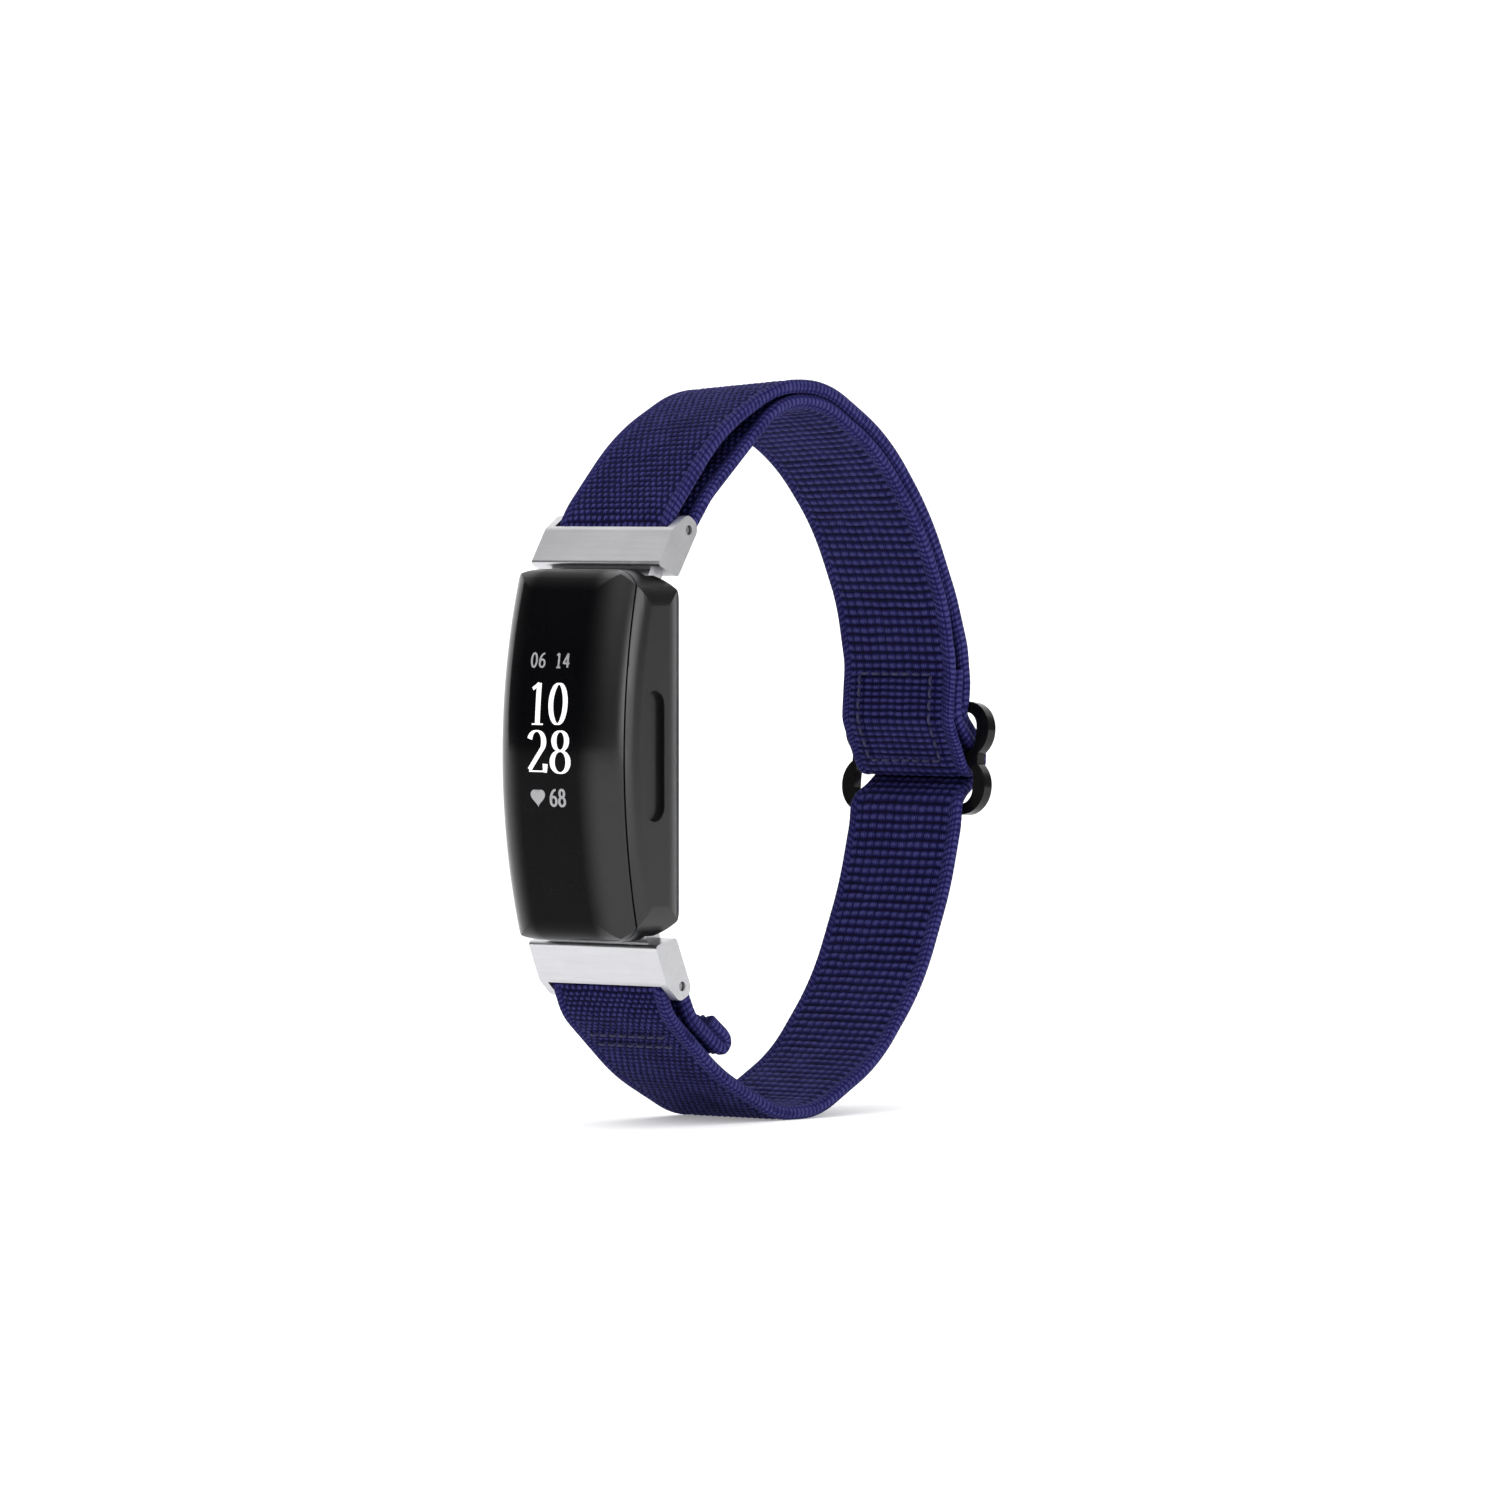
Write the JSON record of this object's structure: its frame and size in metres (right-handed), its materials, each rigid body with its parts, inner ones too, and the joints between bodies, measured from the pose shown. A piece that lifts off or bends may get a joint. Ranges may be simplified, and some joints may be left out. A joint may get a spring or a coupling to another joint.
{
  "type": "fitness tracker band",
  "caption": "Slim fitness tracker with an arched glossy lens on an elastic navy webbing band, with pivoting metal end pieces and a slide buckle.",
  "frame": {"origin": "centre of the footprint, at the lowest point of the band, with the tracker upright", "axes": "+X across the band along the wrist's axis, -Y the way the display looks, +Z along the tracker's length, upwards"},
  "size_m": [0.019, 0.0614, 0.0742],
  "materials": {
    "lens": "polished black, hard-coated",
    "display": "dark display glass",
    "flex": "amber flexible circuit",
    "seal": "black",
    "casing": "satin black",
    "window": "smoked clear",
    "board": "green solder mask",
    "light": "clear lamp",
    "chip": "moulded black",
    "battery": "foil pouch",
    "carrier": "moulded grey",
    "weight": "sintered",
    "contact": "gold plated",
    "bar_steel": "turned stainless",
    "connector": "satin brushed",
    "webbing": "navy woven elastic nylon",
    "buckle": "black gloss enamel"
  },
  "bodies": {
    "tracker": {"front_lens": "lens", "display_panel": "display", "display_flex": "flex", "lens_seal": "seal", "main_housing": "casing", "rear_cover": "casing", "sensor_window": "window", "sensor_board": "board", "pulse_lights": "light", "light_detector": "chip", "main_board": "board", "board_chips": "chip", "battery": "battery", "inner_carrier": "carrier", "vibration_motor_case": "bar_steel", "charging_contacts": "contact", "touch_electrode_left": "contact", "touch_electrode_right": "contact", "webbing_top_outer": "webbing", "webbing_top_inner": "webbing", "webbing_bottom": "webbing", "webbing_tail_hem": "webbing"},
    "motor_weight": {"vibration_weight": "weight"},
    "back_band": {"webbing_back_outer": "webbing", "webbing_back_inner": "webbing", "webbing_slack_outer": "webbing", "webbing_slack_inner": "webbing", "webbing_slack_lower": "webbing", "webbing_lower_back": "webbing"},
    "buckle": {"slide_buckle": "buckle", "webbing_weave": "webbing", "webbing_sewn_end": "webbing"},
    "upper_end": {"upper_connector": "connector", "upper_release_bar_tube": "bar_steel", "upper_release_bar_spring": "bar_steel", "upper_release_fixed_tip": "bar_steel", "upper_pin_tube": "bar_steel", "upper_pin_spring": "bar_steel", "webbing_upper_loop": "webbing"},
    "upper_latch": {"upper_release_latch": "bar_steel"},
    "upper_tip_left": {"upper_pin_tip_left": "bar_steel"},
    "upper_tip_right": {"upper_pin_tip_right": "bar_steel"},
    "lower_end": {"lower_connector": "connector", "lower_release_bar_tube": "bar_steel", "lower_release_bar_spring": "bar_steel", "lower_release_fixed_tip": "bar_steel", "lower_pin_tube": "bar_steel", "lower_pin_spring": "bar_steel", "webbing_lower_loop": "webbing"},
    "lower_latch": {"lower_release_latch": "bar_steel"},
    "lower_tip_left": {"lower_pin_tip_left": "bar_steel"},
    "lower_tip_right": {"lower_pin_tip_right": "bar_steel"}
  },
  "joints": [
    {"name": "motor_spin", "type": "hinge", "parent": "tracker", "child": "motor_weight", "pos_m": [0, -0.0231, 0.0286], "axis": [1, 0, 0], "continuous": true},
    {"name": "band_stretch", "type": "slide", "parent": "tracker", "child": "back_band", "axis": [0, 1, 0], "range_m": [0, 0.008], "stiffness_N_per_m": 250},
    {"name": "buckle_adjust", "type": "slide", "parent": "back_band", "child": "buckle", "axis": [0, 0.1045, 0.9945], "range_m": [-0.003, 0.003], "stiffness_N_per_m": 40, "deforming": ["webbing_slack_outer", "webbing_slack_inner", "webbing_slack_lower"]},
    {"name": "upper_pivot", "type": "hinge", "parent": "tracker", "child": "upper_end", "pos_m": [0, -0.0229, 0.0535], "axis": [1, 0, 0], "range_deg": [-6, 6], "stiffness_Nm_per_rad": 0.01},
    {"name": "upper_latch_slide", "type": "slide", "parent": "upper_end", "child": "upper_latch", "axis": [-1, 0, 0], "range_m": [0, 0.0009], "stiffness_N_per_m": 20, "deforming": ["upper_release_bar_spring"]},
    {"name": "upper_tip_left_slide", "type": "slide", "parent": "upper_end", "child": "upper_tip_left", "axis": [1, 0, 0], "range_m": [0, 0.0007], "stiffness_N_per_m": 20, "deforming": ["upper_pin_spring"]},
    {"name": "upper_tip_right_slide", "type": "slide", "parent": "upper_end", "child": "upper_tip_right", "axis": [-1, 0, 0], "range_m": [0, 0.0007], "stiffness_N_per_m": 20, "deforming": ["upper_pin_spring"]},
    {"name": "lower_pivot", "type": "hinge", "parent": "tracker", "child": "lower_end", "pos_m": [0, -0.0229, 0.0209], "axis": [1, 0, 0], "range_deg": [-6, 6], "stiffness_Nm_per_rad": 0.01},
    {"name": "lower_latch_slide", "type": "slide", "parent": "lower_end", "child": "lower_latch", "axis": [1, 0, 0], "range_m": [0, 0.0009], "stiffness_N_per_m": 20, "deforming": ["lower_release_bar_spring"]},
    {"name": "lower_tip_left_slide", "type": "slide", "parent": "lower_end", "child": "lower_tip_left", "axis": [-1, 0, 0], "range_m": [0, 0.0007], "stiffness_N_per_m": 20, "deforming": ["lower_pin_spring"]},
    {"name": "lower_tip_right_slide", "type": "slide", "parent": "lower_end", "child": "lower_tip_right", "axis": [1, 0, 0], "range_m": [0, 0.0007], "stiffness_N_per_m": 20, "deforming": ["lower_pin_spring"]}
  ]
}
